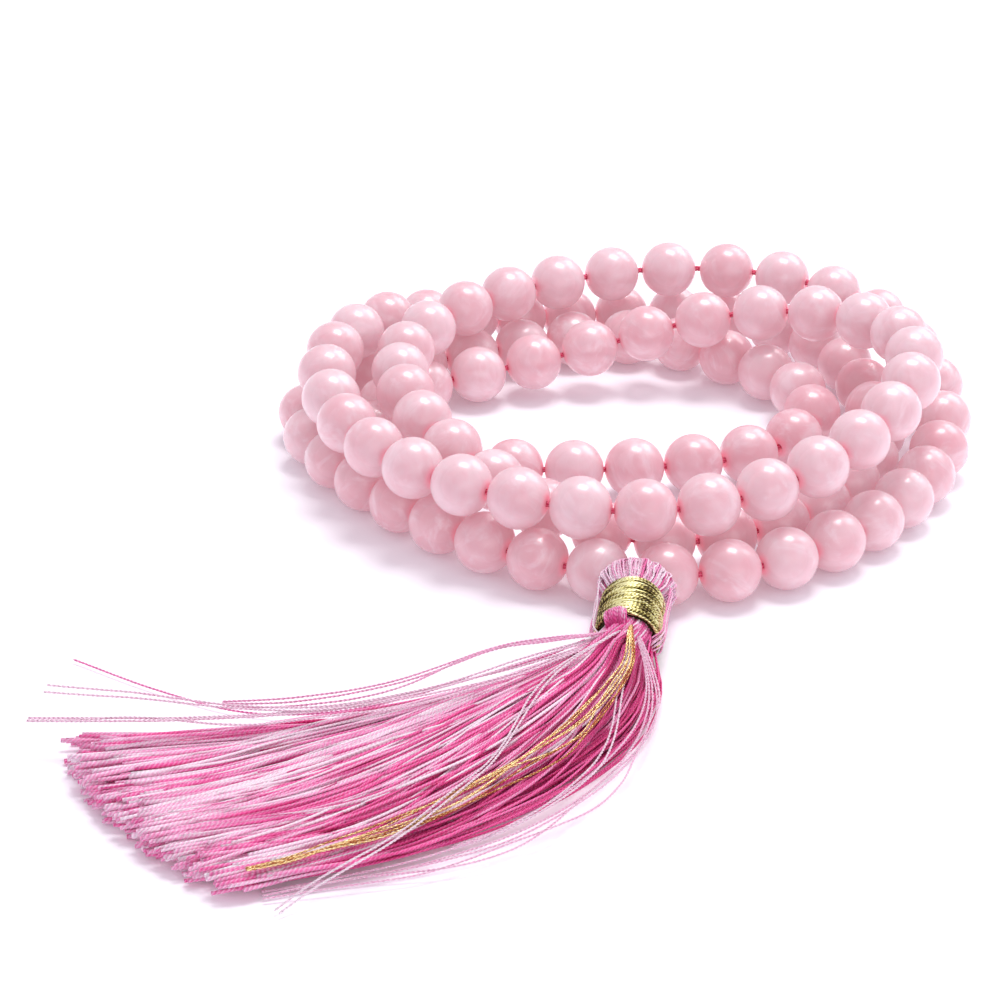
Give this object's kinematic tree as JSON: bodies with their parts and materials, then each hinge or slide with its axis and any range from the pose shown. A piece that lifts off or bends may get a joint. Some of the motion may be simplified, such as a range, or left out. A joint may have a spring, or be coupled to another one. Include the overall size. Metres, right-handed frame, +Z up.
{
  "type": "mala prayer beads",
  "caption": "Looped mala of round rose-quartz beads on a crimson cord, lying wound in turns, with a pink thread tassel bound in gold thread and spread on the surface.",
  "frame": {"origin": "middle of the footprint of the mala as it lies, on the surface that it lies on", "axes": "+Z up from that surface; +Y from the tassel towards the far side of the wound strand; +X to the right seen from the tassel"},
  "size_m": [0.1152, 0.1546, 0.0202],
  "materials": {
    "rose_quartz": "polished, cloudy and slightly translucent",
    "crimson_cord": "braided cord",
    "tassel_thread": "glossy two-ply thread",
    "gold_thread": "metallic thread"
  },
  "bodies": {
    "strand": {"stringing_cord": "crimson_cord", "bead_run_002_006": "rose_quartz", "bead_run_007_012": "rose_quartz", "bead_run_022_027": "rose_quartz", "bead_run_028_034": "rose_quartz", "bead_run_035_042": "rose_quartz", "bead_run_043_050": "rose_quartz", "bead_run_077_083": "rose_quartz", "bead_run_087_093": "rose_quartz", "bead_run_094_100": "rose_quartz", "bead_run_101_107": "rose_quartz"},
    "tassel": {"tassel_head": "tassel_thread", "gold_binding": "gold_thread"},
    "skirt": {"skirt_lock_1": "tassel_thread", "skirt_lock_2": "tassel_thread", "skirt_lock_3": "tassel_thread", "skirt_lock_4": "tassel_thread", "skirt_lock_5": "tassel_thread", "gold_threads": "gold_thread", "loose_thread": "tassel_thread"},
    "bead_001": {"bead_001": "rose_quartz"},
    "bead_013": {"bead_013": "rose_quartz"},
    "bead_014": {"bead_014": "rose_quartz"},
    "bead_015": {"bead_015": "rose_quartz"},
    "bead_016": {"bead_016": "rose_quartz"},
    "bead_017": {"bead_017": "rose_quartz"},
    "bead_018": {"bead_018": "rose_quartz"},
    "bead_019": {"bead_019": "rose_quartz"},
    "bead_020": {"bead_020": "rose_quartz"},
    "bead_021": {"bead_021": "rose_quartz"},
    "bead_051": {"bead_051": "rose_quartz"},
    "bead_052": {"bead_052": "rose_quartz"},
    "bead_053": {"bead_053": "rose_quartz"},
    "bead_054": {"bead_054": "rose_quartz"},
    "bead_055": {"bead_055": "rose_quartz"},
    "bead_056": {"bead_056": "rose_quartz"},
    "bead_057": {"bead_057": "rose_quartz"},
    "bead_058": {"bead_058": "rose_quartz"},
    "bead_059": {"bead_059": "rose_quartz"},
    "bead_060": {"bead_060": "rose_quartz"},
    "bead_061": {"bead_061": "rose_quartz"},
    "bead_062": {"bead_062": "rose_quartz"},
    "bead_063": {"bead_063": "rose_quartz"},
    "bead_064": {"bead_064": "rose_quartz"},
    "bead_065": {"bead_065": "rose_quartz"},
    "bead_066": {"bead_066": "rose_quartz"},
    "bead_067": {"bead_067": "rose_quartz"},
    "bead_068": {"bead_068": "rose_quartz"},
    "bead_069": {"bead_069": "rose_quartz"},
    "bead_070": {"bead_070": "rose_quartz"},
    "bead_071": {"bead_071": "rose_quartz"},
    "bead_072": {"bead_072": "rose_quartz"},
    "bead_073": {"bead_073": "rose_quartz"},
    "bead_074": {"bead_074": "rose_quartz"},
    "bead_075": {"bead_075": "rose_quartz"},
    "bead_076": {"bead_076": "rose_quartz"},
    "bead_084": {"bead_084": "rose_quartz"},
    "bead_085": {"bead_085": "rose_quartz"},
    "bead_086": {"bead_086": "rose_quartz"},
    "bead_108": {"bead_108": "rose_quartz"}
  },
  "joints": [
    {"name": "tassel_lift", "type": "hinge", "parent": "strand", "child": "tassel", "pos_m": [0.00964, -0.0106, 0.004], "axis": [-0.9903, 0.1391, 0], "range_deg": [0, 40]},
    {"name": "skirt_swing", "type": "hinge", "parent": "tassel", "child": "skirt", "pos_m": [0.00829, -0.02821, 0.004], "axis": [0, 0, 1], "range_deg": [-30, 30]},
    {"name": "bead_001_spin", "type": "hinge", "parent": "strand", "child": "bead_001", "pos_m": [0.01385, -0.0112, 0.004], "axis": [1, -0.0057, 0], "continuous": true},
    {"name": "bead_013_spin", "type": "hinge", "parent": "strand", "child": "bead_013", "pos_m": [0.04142, 0.0616, 0.01191], "axis": [-0.7594, 0.6443, 0.09], "continuous": true},
    {"name": "bead_014_spin", "type": "hinge", "parent": "strand", "child": "bead_014", "pos_m": [0.0344, 0.06637, 0.0123], "axis": [-0.8831, 0.4687, 0.0205], "continuous": true},
    {"name": "bead_015_spin", "type": "hinge", "parent": "strand", "child": "bead_015", "pos_m": [0.02651, 0.06951, 0.01226], "axis": [-0.9684, 0.249, -0.0164], "continuous": true},
    {"name": "bead_016_spin", "type": "hinge", "parent": "strand", "child": "bead_016", "pos_m": [0.01809, 0.07057, 0.01203], "axis": [-0.9995, -0.0115, -0.0284], "continuous": true},
    {"name": "bead_017_spin", "type": "hinge", "parent": "strand", "child": "bead_017", "pos_m": [0.0097, 0.06932, 0.01178], "axis": [-0.9674, -0.2523, -0.0229], "continuous": true},
    {"name": "bead_018_spin", "type": "hinge", "parent": "strand", "child": "bead_018", "pos_m": [0.00176, 0.06631, 0.01164], "axis": [-0.8939, -0.4481, -0.0053], "continuous": true},
    {"name": "bead_019_spin", "type": "hinge", "parent": "strand", "child": "bead_019", "pos_m": [-0.00541, 0.06175, 0.01169], "axis": [-0.789, -0.6144, 0.0101], "continuous": true},
    {"name": "bead_020_spin", "type": "hinge", "parent": "strand", "child": "bead_020", "pos_m": [-0.01158, 0.05592, 0.01181], "axis": [-0.6709, -0.7415, -0.0079], "continuous": true},
    {"name": "bead_021_spin", "type": "hinge", "parent": "strand", "child": "bead_021", "pos_m": [-0.01676, 0.0492, 0.01156], "axis": [-0.4916, -0.8706, -0.0201], "continuous": true},
    {"name": "bead_051_spin", "type": "hinge", "parent": "strand", "child": "bead_051", "pos_m": [-0.02934, 0.0407, 0.01186], "axis": [-0.2078, -0.9779, 0.0223], "continuous": true},
    {"name": "bead_052_spin", "type": "hinge", "parent": "strand", "child": "bead_052", "pos_m": [-0.03007, 0.03274, 0.01186], "axis": [0.0157, -0.9998, -0.0107], "continuous": true},
    {"name": "bead_053_spin", "type": "hinge", "parent": "strand", "child": "bead_053", "pos_m": [-0.02909, 0.02481, 0.01169], "axis": [0.2134, -0.9767, -0.0228], "continuous": true},
    {"name": "bead_054_spin", "type": "hinge", "parent": "strand", "child": "bead_054", "pos_m": [-0.02667, 0.01719, 0.01149], "axis": [0.3909, -0.9202, -0.0223], "continuous": true},
    {"name": "bead_055_spin", "type": "hinge", "parent": "strand", "child": "bead_055", "pos_m": [-0.02287, 0.01016, 0.01133], "axis": [0.5631, -0.8263, -0.0142], "continuous": true},
    {"name": "bead_056_spin", "type": "hinge", "parent": "strand", "child": "bead_056", "pos_m": [-0.01772, 0.00405, 0.01127], "axis": [0.7177, -0.6964, -0.0028], "continuous": true},
    {"name": "bead_057_spin", "type": "hinge", "parent": "strand", "child": "bead_057", "pos_m": [-0.01145, -0.00092, 0.01129], "axis": [0.8385, -0.5449, -0.0011], "continuous": true},
    {"name": "bead_058_spin", "type": "hinge", "parent": "strand", "child": "bead_058", "pos_m": [-0.00437, -0.00463, 0.01125], "axis": [0.9276, -0.3733, -0.0153], "continuous": true},
    {"name": "bead_059_spin", "type": "hinge", "parent": "strand", "child": "bead_059", "pos_m": [0.0033, -0.00686, 0.01105], "axis": [0.9844, -0.1749, -0.02], "continuous": true},
    {"name": "bead_060_spin", "type": "hinge", "parent": "strand", "child": "bead_060", "pos_m": [0.01128, -0.00741, 0.01093], "axis": [0.999, 0.0437, 0.0043], "continuous": true},
    {"name": "bead_061_spin", "type": "hinge", "parent": "strand", "child": "bead_061", "pos_m": [0.01917, -0.00616, 0.01111], "axis": [0.9645, 0.2588, 0.0526], "continuous": true},
    {"name": "bead_062_spin", "type": "hinge", "parent": "strand", "child": "bead_062", "pos_m": [0.0266, -0.00329, 0.01177], "axis": [0.8867, 0.4488, 0.1113], "continuous": true},
    {"name": "bead_063_spin", "type": "hinge", "parent": "strand", "child": "bead_063", "pos_m": [0.03327, 0.00097, 0.01289], "axis": [0.7793, 0.6091, 0.1473], "continuous": true},
    {"name": "bead_064_spin", "type": "hinge", "parent": "strand", "child": "bead_064", "pos_m": [0.03901, 0.0064, 0.01411], "axis": [0.6539, 0.7425, 0.1451], "continuous": true},
    {"name": "bead_065_spin", "type": "hinge", "parent": "strand", "child": "bead_065", "pos_m": [0.04368, 0.0128, 0.0152], "axis": [0.5001, 0.8577, 0.1198], "continuous": true},
    {"name": "bead_066_spin", "type": "hinge", "parent": "strand", "child": "bead_066", "pos_m": [0.04711, 0.0203, 0.01605], "axis": [0.2982, 0.952, 0.0689], "continuous": true},
    {"name": "bead_067_spin", "type": "hinge", "parent": "strand", "child": "bead_067", "pos_m": [0.04859, 0.02846, 0.01633], "axis": [0.026, 0.9996, -0.0108], "continuous": true},
    {"name": "bead_068_spin", "type": "hinge", "parent": "strand", "child": "bead_068", "pos_m": [0.04754, 0.03668, 0.01588], "axis": [-0.299, 0.9501, -0.0886], "continuous": true},
    {"name": "bead_069_spin", "type": "hinge", "parent": "strand", "child": "bead_069", "pos_m": [0.04371, 0.04397, 0.01488], "axis": [-0.6054, 0.7844, -0.1345], "continuous": true},
    {"name": "bead_070_spin", "type": "hinge", "parent": "strand", "child": "bead_070", "pos_m": [0.03764, 0.0495, 0.01368], "axis": [-0.8249, 0.5437, -0.1544], "continuous": true},
    {"name": "bead_071_spin", "type": "hinge", "parent": "strand", "child": "bead_071", "pos_m": [0.03019, 0.05288, 0.01235], "axis": [-0.939, 0.2931, -0.1797], "continuous": true},
    {"name": "bead_072_spin", "type": "hinge", "parent": "strand", "child": "bead_072", "pos_m": [0.02218, 0.05432, 0.01072], "axis": [-0.9691, 0.0943, -0.228], "continuous": true},
    {"name": "bead_073_spin", "type": "hinge", "parent": "strand", "child": "bead_073", "pos_m": [0.01417, 0.05444, 0.00858], "axis": [-0.9682, -0.0433, -0.2463], "continuous": true},
    {"name": "bead_074_spin", "type": "hinge", "parent": "strand", "child": "bead_074", "pos_m": [0.00615, 0.05361, 0.00664], "axis": [-0.9684, -0.1442, -0.2032], "continuous": true},
    {"name": "bead_075_spin", "type": "hinge", "parent": "strand", "child": "bead_075", "pos_m": [-0.00187, 0.05205, 0.00522], "axis": [-0.9596, -0.2459, -0.1367], "continuous": true},
    {"name": "bead_076_spin", "type": "hinge", "parent": "strand", "child": "bead_076", "pos_m": [-0.00973, 0.04954, 0.00438], "axis": [-0.926, -0.3707, -0.0719], "continuous": true},
    {"name": "bead_084_spin", "type": "hinge", "parent": "strand", "child": "bead_084", "pos_m": [0.01113, 0.01942, 0.004], "axis": [0.9933, 0.1154, 0.001], "continuous": true},
    {"name": "bead_085_spin", "type": "hinge", "parent": "strand", "child": "bead_085", "pos_m": [0.01901, 0.02077, 0.00402], "axis": [0.969, 0.247, 0.0088], "continuous": true},
    {"name": "bead_086_spin", "type": "hinge", "parent": "strand", "child": "bead_086", "pos_m": [0.02658, 0.02336, 0.00414], "axis": [0.8842, 0.4664, 0.026], "continuous": true},
    {"name": "bead_108_spin", "type": "hinge", "parent": "strand", "child": "bead_108", "pos_m": [0.00543, -0.01001, 0.004], "axis": [0.9668, -0.2556, 0], "continuous": true}
  ]
}
